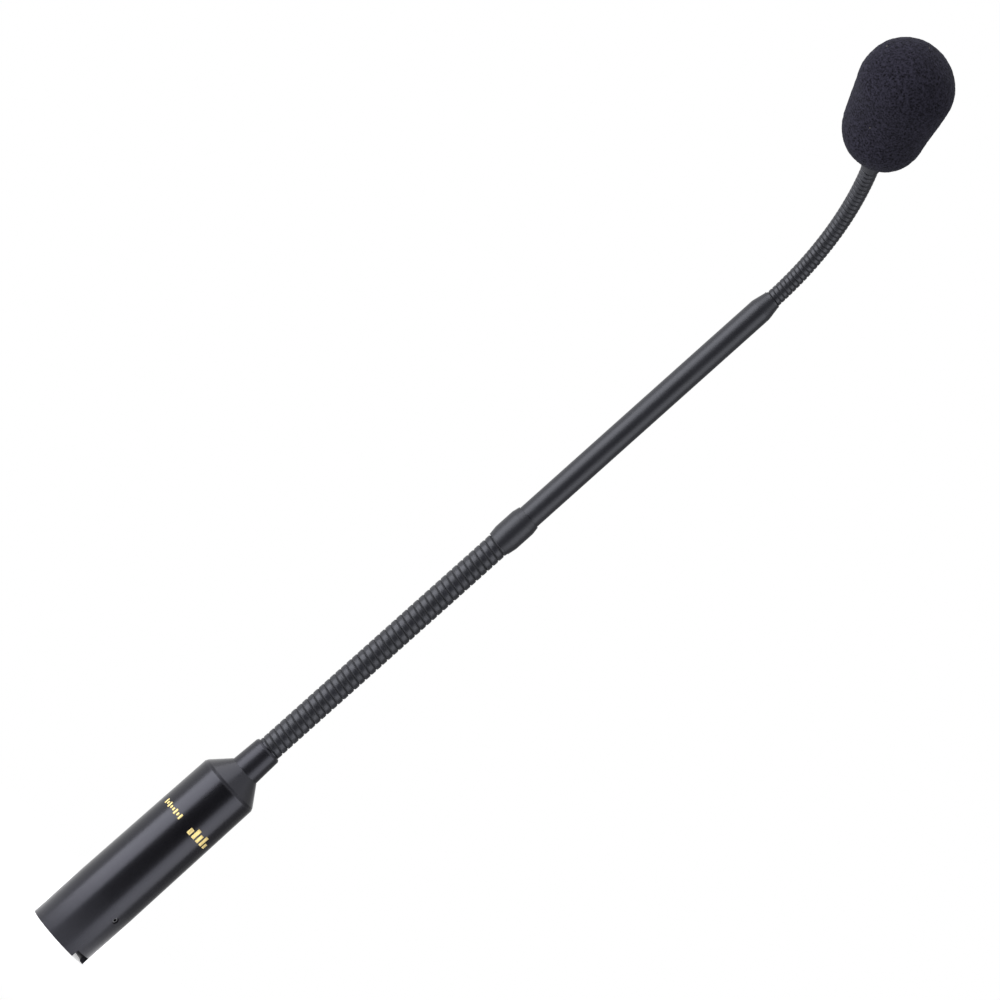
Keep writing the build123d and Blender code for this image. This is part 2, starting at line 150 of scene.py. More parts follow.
class MicWindingSettings(bpy.types.PropertyGroup):
    """Sizes of the wound goosenecks"""

    lower_radius: length("Lower radius", 3.47 * MM, "Outer radius of the lower gooseneck's coils")
    lower_rib: length("Lower rib pitch", 1.97 * MM, "Distance from coil to coil of the lower gooseneck")
    lower_groove: length("Lower groove", 0.42 * MM, "Depth of the groove between the lower gooseneck's coils")
    lower_bore: length("Lower bore", 1.7 * MM, "Radius of the cable bore in the lower gooseneck")
    upper_radius: length("Upper radius", 2.37 * MM, "Outer radius of the upper gooseneck's coils")
    upper_rib: length("Upper rib pitch", 1.34 * MM, "Distance from coil to coil of the upper gooseneck")
    upper_groove: length("Upper groove", 0.3 * MM, "Depth of the groove between the upper gooseneck's coils")
    upper_bore: length("Upper bore", 1.2 * MM, "Radius of the cable bore in the upper gooseneck")


class MicTurnedSettings(bpy.types.PropertyGroup):
    """Sizes of the turned sleeve and collar"""

    sleeve_radius: length("Sleeve radius", 4.05 * MM, "Outer radius of the sleeve under the tube")
    tube_seat: length("Tube seat", 3.43 * MM, "Radius of the bore that the stiff tube sits in")
    cable_bore: length("Cable bore", 1.7 * MM, "Radius of the cable bore through the sleeve")
    foot_taper: length("Foot taper", 2.6 * MM, "Length of the taper at the sleeve's foot")
    top_taper: length("Top taper", 2.1 * MM, "Length of the taper at the sleeve's top")
    seat_floor: length("Seat floor", 2 * MM, "Height in the sleeve where the tube's bore begins")
    collar_radius: length("Collar radius", 2.9 * MM, "Outer radius of the collar where it meets the housing")
    collar_foot: length("Collar foot", 2.58 * MM, "Outer radius of the collar next to the neck")
    collar_length: length("Collar length", 4.5 * MM, "Length of the collar below the capsule housing")
    flare_start: length("Flare start", 2.4 * MM, "Height on the collar where it begins to widen")
    flare_end: length("Flare end", 3.2 * MM, "Height on the collar where it is at its widest")
    collar_shank: length("Collar shank", 2.4 * MM, "Radius of the shank inside the capsule housing")
    shank_length: length("Shank length", 4.4 * MM, "Length of the shank inside the capsule housing")
    lip: length("Lip", 0.22 * MM, "Width of the flat lip at both ends of the sleeve")
    sleeve_edge: length("Sleeve edge", 0.066 * MM, "How far the sleeve's corners are broken")
    collar_edge: length("Collar edge", 0.11 * MM, "How far the collar's corners are broken")


class MicWindscreenSettings(bpy.types.PropertyGroup):
    """Sizes of the foam windscreen"""

    lower_radius: length("Lower radius", 11.4 * MM, "Radius of the round end near the neck")
    upper_radius: length("Upper radius", 13.05 * MM, "Radius of the round far end")
    lower_middle: length("Lower middle", 13.5 * MM, "Centre of the round lower end, from the neck's end")
    upper_middle: length("Upper middle", 28.3 * MM, "Centre of the round far end, from the neck's end")
    bore: length("Bore", 5.9 * MM, "Radius of the bore for the capsule housing")
    bore_end: length("Bore end", 32.3 * MM, "Closed end of the bore, from the neck's end")
    lean: length("Lean", 0.5 * MM, "How far the soft lower end hangs to one side")
    lean_reach: length("Lean reach", 9 * MM, "How far along the head the lower lean fades out")
    upper_lean: length("Upper lean", 0.6 * MM, "How far the upper end hangs to the other side")
    upper_lean_reach: length("Upper lean reach", 11 * MM, "How far along the head the upper lean fades out")
    swell: length("Swell", 0.25 * MM, "Height of the slow unevenness of the foam")
    grain: length("Grain", 0.14 * MM, "Height of the open cells")


class MicMarkSettings(bpy.types.PropertyGroup):
    """The printed marks on the barrel"""

    height: length("Height", 46.0 * MM, "Height of both rows of marks on the barrel")
    scale_start: angle("Scale start", -29, "Azimuth where the row of small ticks begins")
    scale_step: angle("Scale step", 6.2, "Azimuth from one small tick to the next")
    scale_fill: amount("Scale fill", 0.6, "Width of a small tick, as a share of the step")
    scale_height: length("Scale height", 1.7 * MM, "Height of the tallest small tick")
    bars_start: angle("Bars start", 39, "Azimuth where the level bars begin")
    bars_step: angle("Bars step", 10.4, "Azimuth from one level bar to the next")
    bars_fill: amount("Bars fill", 0.68, "Width of a level bar, as a share of the step")
    bars_height: length("Bars height", 3.0 * MM, "Height of the tallest level bar")
    thickness: length("Thickness", 0.03 * MM, "How far the print stands off the barrel")


class MicFinishSettings(bpy.types.PropertyGroup):
    """Colours of the finishes"""

    barrel: colour("Barrel", (0.0032, 0.0031, 0.0040), "Satin black of the base barrel")
    tube: colour("Tube", (0.0095, 0.0098, 0.0125), "Matt black of the tube, sleeve, ferrule and reducer")
    winding: colour("Winding", (0.0095, 0.0098, 0.0122), "Blackened steel of the goosenecks")
    foam: colour("Foam", (0.0076, 0.0072, 0.0112), "Dark foam of the windscreen")
    print: colour("Print", (0.86, 0.68, 0.28), "Metallic ink of the marks")
    nylon: colour("Nylon", (0.012, 0.012, 0.013), "Moulded insert")
    contact: colour("Contact", (0.83, 0.81, 0.76), "Plated contacts")
    steel: colour("Steel", (0.16, 0.16, 0.17), "Blackened screws and nuts")
    laminate: colour("Laminate", (0.012, 0.085, 0.035), "Circuit board")
    resin: colour("Resin", (0.012, 0.012, 0.013), "Moulded components")
    can: colour("Can", (0.62, 0.62, 0.64), "Bare aluminium cans")
    jacket: colour("Jacket", (0.018, 0.018, 0.02), "Lead and cable jackets")
    rubber: colour("Rubber", (0.015, 0.015, 0.015), "Capsule gasket")
    felt: colour("Felt", (0.02, 0.02, 0.022), "Acoustic felt")


class MicStageSettings(bpy.types.PropertyGroup):
    """Camera, lights and floor"""

    azimuth: angle("Azimuth", 29.519, "Camera's direction, from the front towards the notch")
    elevation: angle("Elevation", 0.724, "Camera's height angle")
    roll: angle("Roll", 48.213, "How far the camera is turned about its own line of sight")
    distance: length("Distance", 2.0, "Camera's distance")
    lens: amount("Lens", 271.52, "Focal length in millimetres on a 36 mm sensor")
    across: length("Across", 116.997 * MM, "Middle of the view, across the picture from the plug rim")
    up: length("Up", 115.958 * MM, "Middle of the view, up the picture from the plug rim")
    target: length("Target", 150 * MM, "Height on the microphone that the softboxes face")
    key_azimuth: angle("Key azimuth", -56, "Large softbox, from the camera's direction")
    key_glow: amount("Key glow", 3.75, "Brightness of the large softbox")
    fill_azimuth: angle("Fill azimuth", 63, "Smaller softbox, from the camera's direction")
    fill_glow: amount("Fill glow", 1.85, "Brightness of the smaller softbox")
    top_azimuth: angle("Top azimuth", -95, "Softbox overhead, from the camera's direction")
    top_glow: amount("Top glow", 1.6, "Brightness of the softbox overhead")
    surround: amount("Surround", 1.05, "Brightness of the pale room around the microphone")
    front: amount("Front", 0.03, "Brightness of the room behind the camera")
    shaded: amount("Shaded side", 0.25, "Brightness of the room's shaded side, as a share of the surround")
    shaded_azimuth: angle("Shaded azimuth", 118, "The room's shaded side, from the camera's direction")
    floor: colour("Floor", (0.86, 0.86, 0.87), "Colour of the floor")
    floor_lift: amount("Floor lift", 0.5, "Light that the floor adds of its own, as a lit table does")
    floor_radius: length("Floor radius", 0.2, "Radius of the floor, which fades out at its edge")
    floor_gap: length("Floor gap", 0.02 * MM, "How far the floor lies under the barrel's rim")


class MicSettings(bpy.types.PropertyGroup):
    """All the microphone's settings"""

    winding: bpy.props.PointerProperty(type=MicWindingSettings, name="Windings")
    turned: bpy.props.PointerProperty(type=MicTurnedSettings, name="Sleeve and collar")
    windscreen: bpy.props.PointerProperty(type=MicWindscreenSettings, name="Windscreen")
    marks: bpy.props.PointerProperty(type=MicMarkSettings, name="Marks")
    finish: bpy.props.PointerProperty(type=MicFinishSettings, name="Finishes")
    stage: bpy.props.PointerProperty(type=MicStageSettings, name="Stage")


# ---------------------------------------------------------------- materials


class Value:
    """A number that varies over a surface. Arithmetic on it adds Math nodes to its material."""

    def __init__(self, finish, socket):
        self.finish = finish
        self.socket = socket

    def _math(self, operation, first, second, clamp=False):
        settings = {"operation": operation, "use_clamp": clamp}
        made = self.finish.node("ShaderNodeMath", settings, {0: first, 1: second})
        return Value(self.finish, made.outputs[0])

    def __add__(self, other):
        return self._math("ADD", self, other)

    def __sub__(self, other):
        return self._math("SUBTRACT", self, other)

    def __rsub__(self, other):
        return self._math("SUBTRACT", other, self)

    def __mul__(self, other):
        return self._math("MULTIPLY", self, other)

    def __truediv__(self, other):
        return self._math("DIVIDE", self, other)

    def __abs__(self):
        return self._math("ABSOLUTE", self, 0)

    def clamped(self):
        """The same number kept between 0 and 1."""
        return self._math("ADD", self, 0, clamp=True)

    __radd__ = __add__
    __rmul__ = __mul__


class Finish:
    """One material, built from nodes round a Principled shader."""

    def __init__(self, name, **constants):
        self.material = bpy.data.materials.new(name)
        self.material.use_nodes = True
        self.tree = self.material.node_tree
        self.tree.nodes.clear()
        inputs = {key.replace("_", " "): value for key, value in constants.items()}
        self.shader = self.node("ShaderNodeBsdfPrincipled", None, inputs)
        self.node("ShaderNodeOutputMaterial", None, {"Surface": self.shader.outputs[0]})
        self.place = self.node("ShaderNodeTexCoord").outputs["Object"]

    def node(self, kind, settings=None, inputs=None):
        """Adds a node: its settings first, then the values or links of its sockets."""
        made = self.tree.nodes.new(kind)
        for key, value in (settings or {}).items():
            if key == "stops":
                ramp = made.color_ramp
                while len(ramp.elements) < len(value):
                    ramp.elements.new(0.5)
                for element, (position, shade) in zip(ramp.elements, value):
                    element.position = position
                    element.color = (shade, shade, shade, 1)
            else:
                setattr(made, key, value)
        for key, value in (inputs or {}).items():
            self.feed(made.inputs[key], value)
        return made

    def feed(self, socket, value):
        """Sets a socket to a number, a colour or a link."""
        if isinstance(value, Value):
            value = value.socket
        if isinstance(value, bpy.types.NodeSocket):
            self.tree.links.new(value, socket)
        elif isinstance(value, (int, float)):
            socket.default_value = value
        else:
            filled = tuple(value)
            if len(socket.default_value) == 4 and len(filled) == 3:
                filled += (1,)
            socket.default_value = filled

    def stretched(self, scale):
        """The place on the object, scaled along its three axes."""
        return self.node("ShaderNodeMapping", None, {"Vector": self.place, "Scale": scale}).outputs[0]

    def noise(self, scale, detail=2.0, roughness=0.5, place=None):
        """Cloudy noise from 0 to 1, with this many cells to the metre."""
        inputs = {"Vector": place or self.place, "Scale": scale, "Detail": detail, "Roughness": roughness}
        return Value(self, self.node("ShaderNodeTexNoise", None, inputs).outputs[0])

    def cells(self, scale, place=None):
        """Distance to the nearest cell's middle, with this many cells to the metre."""
        inputs = {"Vector": place or self.place, "Scale": scale}
        return Value(self, self.node("ShaderNodeTexVoronoi", None, inputs).outputs["Distance"])

    def ramp(self, value, *stops):
        """A number turned into another by straight steps between (position, result) pairs."""
        made = self.node("ShaderNodeValToRGB", {"stops": stops}, {0: value})
        return Value(self, made.outputs[0])

    def height(self):
        """The place's Z, in metres."""
        return Value(self, self.node("ShaderNodeSeparateXYZ", None, {0: self.place}).outputs[2])

    def attribute(self, name):
        """A number stored in the mesh."""
        return Value(self, self.node("ShaderNodeAttribute", {"attribute_name": name}).outputs["Fac"])

    def blend(self, share, first, second):
        """A colour between two others."""
        settings = {"data_type": "RGBA"}
        return self.node("ShaderNodeMix", settings, {0: share, 6: first, 7: second}).outputs[2]

    def bump(self, height, distance, strength=1.0):
        """Turns a height from 0 to 1 into the surface's normal. Distance is in metres."""
        inputs = {"Height": height, "Distance": distance, "Strength": strength}
        self.feed(self.shader.inputs["Normal"], self.node("ShaderNodeBump", None, inputs).outputs[0])

    def paint(self, base_color=None, roughness=None, metallic=None):
        """Links what varies to the shader."""
        for name, value in (("Base Color", base_color), ("Roughness", roughness), ("Metallic", metallic)):
            if value is not None:
                self.feed(self.shader.inputs[name], value)
        return self.material


def lighter(base, factor):
    """The same colour, brighter or darker."""
    return tuple(min(1.0, channel * factor) for channel in base)


def edge_ring(height, middle, width):
    """1 in a narrow band round the barrel at this height, fading to 0."""
    return (1 - abs(height - middle) / width).clamped()


# A ring of the barrel counts as part of its straight wall from this share of the rim's radius.
SHOULDER_SHARE = 0.93


def barrel_finish(name, base, roughness):
    """Satin black anodising: fine grain, faint lengthwise drawing lines and rubbed edges."""
    finish = Finish(name, IOR=1.5, Specular_Tint=(0.84, 0.85, 1.0))
    grain = finish.noise(6500, 2)
    lines = finish.noise(1, 3, 0.6, finish.stretched((2600, 2600, 40)))
    clouds = finish.noise(90, 3)
    height = finish.height()
    profile = outline("base_barrel")
    shoulder = [level for level, radius in profile if radius > SHOULDER_SHARE * profile[0][1]][-1]
    worn = edge_ring(height, 0.0, 0.5 * MM) + edge_ring(height, shoulder, 0.45 * MM)
    worn = (worn * (0.4 + 0.6 * finish.ramp(finish.noise(1400, 3), (0.42, 0), (0.62, 1)))).clamped()
    tone = (clouds * 0.5 + grain * 0.5).clamped()
    black = finish.blend(tone, lighter(base, 0.75), lighter(base, 1.35))
    finish.bump(grain * 0.6 + lines * 0.4, 0.012 * MM, 0.6)
    return finish.paint(
        finish.blend(worn * 0.3, black, (0.04, 0.04, 0.045)),
        roughness + lines * 0.05 + clouds * 0.05,
    )


def tube_finish(base):
    """Matt black paint with an even, fine texture."""
    finish = Finish("tube_black", IOR=1.5, Specular_Tint=(0.88, 0.9, 1.0))
    grain = finish.noise(5200, 3, 0.6)
    clouds = finish.noise(140, 3)
    tone = (clouds * 0.6 + grain * 0.4).clamped()
    finish.bump(grain, 0.02 * MM, 0.7)
    return finish.paint(finish.blend(tone, lighter(base, 0.7), lighter(base, 1.3)), 0.37 + clouds * 0.08)


def winding_finish(base):
    """Blackened steel coils: grooves painted darker as shade, crowns rubbed a little smoother."""
    finish = Finish("winding_black", IOR=1.5, Specular_Tint=(0.88, 0.9, 1.0))
    grain = finish.noise(4800, 3, 0.6)
    patches = finish.noise(260, 3)
    groove = finish.attribute("groove")
    rubbed = ((1 - groove) * finish.ramp(patches, (0.4, 0), (0.7, 1))).clamped()
    steel = finish.blend(rubbed, base, lighter(base, 1.7))
    finish.bump(grain, 0.02 * MM, 0.7)
    return finish.paint(
        # painted shade: the steel colour is taken down to a quarter in the grooves between coils
        finish.blend(groove, steel, lighter(base, 0.25)),
        0.36 + groove * 0.4 - rubbed * 0.05 + grain * 0.05,
    )


def foam_finish(base):
    """Open-cell foam: mottled cells, a soft sheen and a few specks of lint."""
    finish = Finish("foam_black", IOR=1.4, Specular_IOR_Level=0.1, Sheen_Weight=0.02, Sheen_Roughness=0.5)
    finish.shader.inputs["Sheen Tint"].default_value = (0.8, 0.86, 1, 1)
    cells = finish.cells(1500)
    fine = finish.noise(2600, 2, 0.6)
    mottle = finish.noise(1500, 3, 0.7)
    slow = finish.noise(120, 2)
    tone = finish.ramp(cells * 0.3 + mottle * 0.7 + fine * 0.7, (0.66, 0), (1.08, 1))
    lint = finish.ramp(finish.noise(620, 1), (0.79, 0), (0.82, 1))
    foam = finish.blend(tone, lighter(base, 0.2), lighter(base, 3.4))
    foam = finish.blend(slow * 0.35, foam, lighter(base, 0.8))
    finish.bump((cells * 0.5 + fine * 0.7).clamped(), 0.16 * MM, 0.7)
    return finish.paint(finish.blend(lint, foam, (0.16, 0.15, 0.12)), 0.9 + fine * 0.1)


def print_finish(base):
    """Metallic ink, a little uneven."""
    finish = Finish("print_gold", IOR=1.5)
    flakes = finish.noise(9000, 2)
    clouds = finish.noise(1500, 2)
    finish.bump(flakes, 0.01 * MM, 0.6)
    return finish.paint(
        finish.blend((flakes * 0.5 + clouds * 0.5).clamped(), lighter(base, 0.7), lighter(base, 1.15)),
        0.3 + flakes * 0.2,
        0.45 + clouds * 0.2,
    )


def moulded_finish(name, base, roughness, cells=2400):
    """Moulded plastic or rubber with a fine spark-eroded grain."""
    finish = Finish(name, IOR=1.5)
    grain = finish.noise(cells, 3, 0.6)
    clouds = finish.noise(160, 2)
    finish.bump(grain, 0.02 * MM, 0.8)
    tone = (clouds * 0.5 + grain * 0.5).clamped()
    return finish.paint(
        finish.blend(tone, lighter(base, 0.65), lighter(base, 1.4)), roughness - 0.06 + clouds * 0.12
    )


def metal_finish(name, base, roughness, turning=1.0):
    """Bare or plated metal with fine turning lines and slight tarnish."""
    finish = Finish(name)
    lines = finish.noise(1, 3, 0.6, finish.stretched((900, 900, 9000 * turning)))
    tarnish = finish.ramp(finish.noise(420, 3), (0.45, 0), (0.75, 1))
    finish.bump(lines, 0.008 * MM, 0.5)
    return finish.paint(
        finish.blend(tarnish, base, lighter(base, 0.55)),
        roughness + tarnish * 0.15 + lines * 0.08,
        1.0 - tarnish * 0.15,
    )


def laminate_finish(base):
    """Board laminate with the copper runs showing faintly under the mask."""
    finish = Finish("board_laminate", IOR=1.5)
    runs = finish.noise(1, 0, 0.5, finish.stretched((10, 1100, 90)))
    tracks = finish.ramp(runs, (0.49, 0), (0.5, 1), (0.56, 1), (0.57, 0))
    weave = finish.cells(2600)
    finish.bump(tracks * 0.7 + weave * 0.2, 0.03 * MM, 0.6)
    return finish.paint(finish.blend(tracks, lighter(base, 0.8), lighter(base, 1.7)), 0.35 + weave * 0.15)


def felt_finish(base):
    """Pressed felt with short loose fibres."""
    finish = Finish("felt_black", Sheen_Weight=0.4, Sheen_Roughness=0.6)
    fibres = finish.noise(1, 4, 0.7, finish.stretched((5200, 900, 2400)))
    crossed = finish.noise(1, 4, 0.7, finish.stretched((800, 5600, 2000)))
    tone = (fibres * 0.5 + crossed * 0.5).clamped()
    finish.bump(tone, 0.12 * MM, 1.0)
    return finish.paint(finish.blend(tone, lighter(base, 0.4), lighter(base, 2.0)), 0.92 + tone * 0.06)


made_finishes = {}


def finishes():
    """Every material by name, made once from the colours in the settings."""
    if not made_finishes:
        chosen = bpy.context.scene.microphone.finish
        made_finishes.update(
            barrel=barrel_finish("barrel_black", chosen.barrel, 0.21),
            ferrule=barrel_finish("ferrule_black", lighter(chosen.barrel, 1.8), 0.3),
            black_enamel=tube_finish(chosen.tube),
            neck_winding=winding_finish(chosen.winding),
            windscreen_foam=foam_finish(chosen.foam),
            print=print_finish(chosen.print),
            insert_nylon=moulded_finish("insert_nylon", chosen.nylon, 0.5),
            component_black=moulded_finish("resin_black", chosen.resin, 0.4),
            lead_jacket=moulded_finish("lead_jacket", chosen.jacket, 0.55, 1800),
            gasket_rubber=moulded_finish("gasket_rubber", chosen.rubber, 0.7, 1600),
            silver_contact=metal_finish("silver_contact", chosen.contact, 0.18),
            screw_steel=metal_finish("screw_steel", chosen.steel, 0.36),
            capacitor_can=metal_finish("capacitor_can", chosen.can, 0.3, 0.4),
            board_laminate=laminate_finish(chosen.laminate),
            felt=felt_finish(chosen.felt),
        )
    return made_finishes


# ---------------------------------------------------------------- mesh helpers


def new_piece(name, bm, finish, body=None, replaced=()):
    """Makes a smooth-shaded object from a bmesh, with its finish and slot."""
    bmesh.ops.recalc_face_normals(bm, faces=bm.faces)
    for face in bm.faces:
        face.smooth = True
    mesh = bpy.data.meshes.new(name)
    bm.to_mesh(mesh)
    bm.free()
    piece = bpy.data.objects.new(name, mesh)
    bpy.context.scene.collection.objects.link(piece)
    mesh.materials.append(finishes()[finish])
    if replaced:
        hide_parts(*replaced)
    if body:
        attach(piece, body)
    return piece


def join_rings(bm, low, high):
    """Faces between two rings of vertices. Either may be a single vertex."""
    count = max(len(low), len(high))
    for n in range(count):
        after = (n + 1) % count
        corners = [low[n % len(low)]]
        if len(low) > 1:
            corners.append(low[after])
        if len(high) > 1:
            corners.append(high[after])
        corners.append(high[n % len(high)])
        bm.faces.new(corners)


def sheet_face(bm, low, high, column):
    """One face between two neighbouring rows of vertices."""
    bm.faces.new((low[column], low[column + 1], high[column + 1], high[column]))


def turn(bm, profile, origin, axis, columns, closed=True):
    """Revolves (radius, height) pairs about an axis."""
    side = Vector((1, 0, 0))
    other = axis.cross(side)
    rings = []
    for radius, height in profile:
        middle = origin + axis * height
        if radius < 1e-7:
            rings.append([bm.verts.new(middle)])
            continue
        ring = []
        for column in range(columns):
            around = math.tau * column / columns
            ring.append(bm.verts.new(middle + (side * math.cos(around) + other * math.sin(around)) * radius))
        rings.append(ring)
    for low, high in zip(rings, rings[1:]):
        join_rings(bm, low, high)
    if closed:
        join_rings(bm, rings[-1], rings[0])
    return rings


def broken_edges(corners, edge, steps=4):
    """A closed profile with every corner rounded, and a point beside each arc to hold the flats flat."""
    beside = 0.4 * edge
    points = []
    for n, corner in enumerate(corners):
        here = Vector(corner)
        into = (Vector(corners[n - 1]) - here).normalized()
        out = (Vector(corners[(n + 1) % len(corners)]) - here).normalized()
        start, end = here + into * edge, here + out * edge
        points.append(start + into * beside)
        for step in range(steps + 1):
            points.append(curve_point(start, here, end, step / steps))
        points.append(end + out * beside)
    return [tuple(point) for point in points]


def curve_point(start, corner, end, t):
    """The point at t, from 0 to 1, on a curve from start to end that bends at a corner."""
    return start * (1 - t) ** 2 + corner * 2 * t * (1 - t) + end * t * t


# ---------------------------------------------------------------- goosenecks


def coil_groove(turns):
    """0 on a coil's flat crown, 1 at the bottom of the groove between coils."""
    across = abs(2 * (turns % 1) - 1)
    return across**6


def coil_rows(bm, radius, groove, rib, start, end, columns, rows):
    """A helical sheet of coils from a little below start to a little above end, along Z."""
    spare = 0.2
    first = math.floor((start / rib - spare) * rows)
    last = math.ceil((end / rib + 1 + spare) * rows)
    grid = []
    for row in range(first, last + 1):
        level = radius - groove * coil_groove(row / rows)
        line = []
        for column in range(columns):
            share = column / columns
            around = math.tau * share
            along = (row / rows - share) * rib
            line.append(bm.verts.new((level * math.cos(around), level * math.sin(around), along)))
        grid.append(line)
    for row in range(len(grid) - 1):
        for column in range(columns - 1):
            sheet_face(bm, grid[row], grid[row + 1], column)
        if row >= rows:
            bm.faces.new(
                (grid[row][-1], grid[row - rows][0], grid[row - rows + 1][0], grid[row + 1][-1])
            )


def cut_at(bm, height, keep_above):
    """Cuts the mesh with a level plane and keeps one side. Returns the new edges."""
    cut = bmesh.ops.bisect_plane(
        bm,
        geom=bm.verts[:] + bm.edges[:] + bm.faces[:],
        dist=1e-8,
        plane_co=(0, 0, height),
        plane_no=(0, 0, 1),
        clear_inner=keep_above,
        clear_outer=not keep_above,
    )
    return [item for item in cut["geom_cut"] if isinstance(item, bmesh.types.BMEdge)]


def winding_piece(name, radius, groove, rib, bore, start, end, joints, columns, rows):
    """One closed stretch of winding round one hinge, from start to end along the neck.
    It is made straight and then laid on a smooth curve from the first point of joints to the last."""
    bm = bmesh.new()
    coil_rows(bm, radius, groove, rib, start, end, columns, rows)
    cut_at(bm, start, True)
    cut_at(bm, end, False)
    rims = [edge for edge in bm.edges if edge.is_boundary]
    inward = bmesh.ops.extrude_edge_only(bm, edges=rims)["geom"]
    for vert in (item for item in inward if isinstance(item, bmesh.types.BMVert)):
        scale = bore / math.hypot(vert.co.x, vert.co.y)
        vert.co.x *= scale
        vert.co.y *= scale
    bmesh.ops.bridge_loops(bm, edges=[edge for edge in bm.edges if edge.is_boundary])
    depth = bm.verts.layers.float.new("groove")
    first, corner, last = joints
    for vert in bm.verts:
        share = (math.atan2(vert.co.y, vert.co.x) / math.tau) % 1
        vert[depth] = coil_groove(vert.co.z / rib + share)
        t = (vert.co.z - start) / (end - start)
        middle = curve_point(first, corner, last, t)
        along = ((corner - first) * (1 - t) + (last - corner) * t).normalized()
        side = Vector((1, 0, 0))
        vert.co = middle + side * vert.co.x + along.cross(side) * vert.co.y
    return new_piece(name, bm, "neck_winding")


def wind_neck(prefix, hinges, foot, tip, sizes, columns, rows=12):
    """Winds one gooseneck: a piece for each hinge, curved through it between the two bodies it joins, but not
    attached to them.
    Rows are counted to one rib. The first piece stands for the cable, each other one for a link."""
    radius, groove, rib, bore = sizes
    pitch = (hinges[1][0] - hinges[0][0]).length
    middles = [foot]
    for (place, _, _), (after, _, _) in zip(hinges, hinges[1:]):
        middles.append((place + after) / 2)
    middles.append(tip)
    for n, (place, parent, child) in enumerate(hinges):
        piece = winding_piece(
            f"{prefix}_winding_{n + 1:02d}",
            radius,
            groove,
            rib,
            bore,
            n * pitch,
            (n + 1) * pitch,
            (middles[n], place, middles[n + 1]),
            columns,
            rows,
        )
        ends = [(parent, middles[n]), (child, middles[n + 1])]
        # Either body may come first. At some hinges the bend sum is thrown off by rounding, in one order or
        # the other. Every second piece has its two ends listed the other way round, but the list is not used
        # further, and nothing ensures that poses come out right.
        if n % 2 == 0:
            ends.reverse()
        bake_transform(piece)
        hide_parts(f"{prefix}_neck_cable" if n == 0 else f"{prefix}_neck_link_{n:02d}")


class MIC_OT_lower_neck(bpy.types.Operator):
    """Winds the lower gooseneck between the ferrule and the sleeve"""

    bl_idname = "mic.lower_neck"
    bl_label = "Lower gooseneck"

    def execute(self, context):
        chosen = context.scene.microphone.winding
        sizes = (chosen.lower_radius, chosen.lower_groove, chosen.lower_rib, chosen.lower_bore)
        wind_neck("lower", LOWER_HINGES, FERRULE_TOP, SLEEVE_FOOT, sizes, columns=56)
        return {"FINISHED"}


class MIC_OT_upper_neck(bpy.types.Operator):
    """Winds the upper gooseneck between the reducer and the head's collar"""

    bl_idname = "mic.upper_neck"
    bl_label = "Upper gooseneck"

    def execute(self, context):
        chosen = context.scene.microphone.winding
        sizes = (chosen.upper_radius, chosen.upper_groove, chosen.upper_rib, chosen.upper_bore)
        wind_neck("upper", UPPER_HINGES, REDUCER_TOP, HEAD_FOOT, sizes, columns=48)
        return {"FINISHED"}


# ---------------------------------------------------------------- sleeve and collar


class MIC_OT_turned_parts(bpy.types.Operator):
    """Turns the sleeve above the lower gooseneck and the collar under the head"""

    bl_idname = "mic.turned_parts"
    bl_label = "Sleeve and collar"

    def execute(self, context):
        chosen = context.scene.microphone.turned
        self.sleeve(chosen)
        self.collar(chosen, context.scene.microphone.winding.upper_bore)
        return {"FINISHED"}

    def sleeve(self, chosen):
        """A barrel-shaped sleeve with tapered ends, bored for the tube above and the cable below."""
        top = SLEEVE_TOP - SLEEVE_FOOT.z
        lip_radius = chosen.tube_seat + chosen.lip
        corners = [
            (chosen.cable_bore, 0),
            (lip_radius, 0),
            (chosen.sleeve_radius, chosen.foot_taper),
            (chosen.sleeve_radius, top - chosen.top_taper),
            (lip_radius, top),
            (chosen.tube_seat, top),
            (chosen.tube_seat, chosen.seat_floor),
            (chosen.cable_bore, chosen.seat_floor),
        ]
        bm = bmesh.new()
        turn(bm, broken_edges(corners, chosen.sleeve_edge), SLEEVE_FOOT, UPWARD, 96)
        new_piece("sleeve", bm, "black_enamel", "middle", ["coupling_sleeve"])

    def collar(self, chosen, cable_bore):
        """A collar that widens towards the housing, with a shank that goes into it."""
        shank_end = chosen.collar_length + chosen.shank_length
        corners = [
            (cable_bore, 0),
            (chosen.collar_foot, 0),
            (chosen.collar_foot, chosen.flare_start),
            (chosen.collar_radius, chosen.flare_end),
            (chosen.collar_radius, chosen.collar_length),
            (chosen.collar_shank, chosen.collar_length),
            (chosen.collar_shank, shank_end),
            (cable_bore, shank_end),
        ]
        bm = bmesh.new()
        turn(bm, broken_edges(corners, chosen.collar_edge), HEAD_FOOT, HEAD_AXIS, 72)
        new_piece("collar", bm, "black_enamel", "head", ["head_collar"])


# ---------------------------------------------------------------- windscreen


def on_round(radius, middle, turned):
    """The (radius, height) pair on a round end, at this angle from its lowest point."""
    return radius * math.sin(turned), middle - radius * math.cos(turned)


def egg_profile(chosen, spacing):
    """The windscreen's outer profile from its mouth to its top: evenly spaced (radius, height) pairs.
    A small round end and a larger one meet at the angle where one straight side touches both."""
    gap = chosen.upper_middle - chosen.lower_middle
    lean = math.asin((chosen.upper_radius - chosen.lower_radius) / gap)
    mouth = math.pi / 2 - math.acos(chosen.bore / chosen.lower_radius)
    points = []
    steps = 60
    for step in range(steps + 1):
        turned = mouth + (math.pi / 2 - lean - mouth) * step / steps
        points.append(on_round(chosen.lower_radius, chosen.lower_middle, turned))
    for step in range(steps + 1):
        turned = math.pi / 2 - lean + (math.pi / 2 + lean) * step / steps
        points.append(on_round(chosen.upper_radius, chosen.upper_middle, turned))
    even = evenly_spaced(points, spacing)
    even[-1] = (0.0, even[-1][1])
    return even


